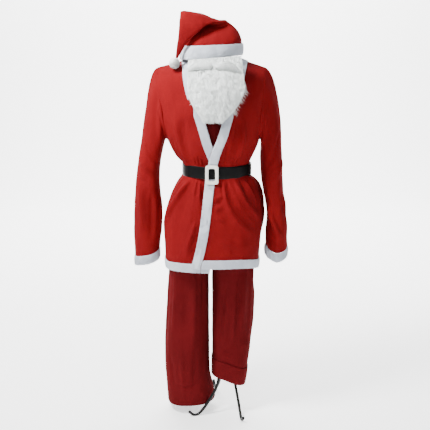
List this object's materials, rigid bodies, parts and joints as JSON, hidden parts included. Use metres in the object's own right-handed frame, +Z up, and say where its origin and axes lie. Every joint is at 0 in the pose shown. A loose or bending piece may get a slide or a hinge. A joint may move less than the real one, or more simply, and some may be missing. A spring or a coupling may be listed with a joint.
{
  "type": "santa suit on a limbless dress form stand",
  "caption": "Santa suit with wrap jacket, belt, high-waisted trousers, hat and beard, worn by a limbless dress form on an iron tripod stand.",
  "frame": {"origin": "middle of the whole part's box, on the floor under the stand's feet", "axes": "+Z up, the suit faces -Y, +X is the wearer's left"},
  "size_m": [0.5746, 0.3632, 1.5002],
  "materials": {
    "suit_red": "brushed plush knit",
    "trouser_red": "brushed knit",
    "plush_white": "long-pile plush",
    "beard_white": "crimped synthetic hair",
    "belt_black": "smooth, slightly glossy",
    "buckle_white": "smooth",
    "form_cloth": "plain linen cover",
    "form_wood": "turned and varnished",
    "iron_black": "black, satin"
  },
  "bodies": {
    "root": {"beard": "beard_white", "belt_buckle": "buckle_white", "belt_strap": "belt_black", "cuff_left": "plush_white", "cuff_right": "plush_white", "form_finial": "form_wood", "form_torso": "form_cloth", "front_band_left": "plush_white", "front_band_right": "plush_white", "hat_back": "suit_red", "hat_band": "plush_white", "hat_front": "suit_red", "hat_pompom": "plush_white", "hem_band_back": "plush_white", "hem_band_left": "plush_white", "hem_band_right": "plush_white", "jacket_back": "suit_red", "jacket_front_left": "suit_red", "jacket_front_right": "suit_red", "moustache_left": "beard_white", "moustache_right": "beard_white", "neck_band_back": "plush_white", "sleeve_left_back": "suit_red", "sleeve_left_front": "suit_red", "sleeve_right_back": "suit_red", "sleeve_right_front": "suit_red", "stand_hub": "iron_black", "stand_leg_back": "iron_black", "stand_leg_left": "iron_black", "stand_leg_right": "iron_black", "stand_pole": "iron_black", "trouser_left_back": "trouser_red", "trouser_left_front": "trouser_red", "trouser_right_back": "trouser_red", "trouser_right_front": "trouser_red", "trouser_waistband": "trouser_red", "turn_up_left": "trouser_red"}
  },
  "joints": []
}
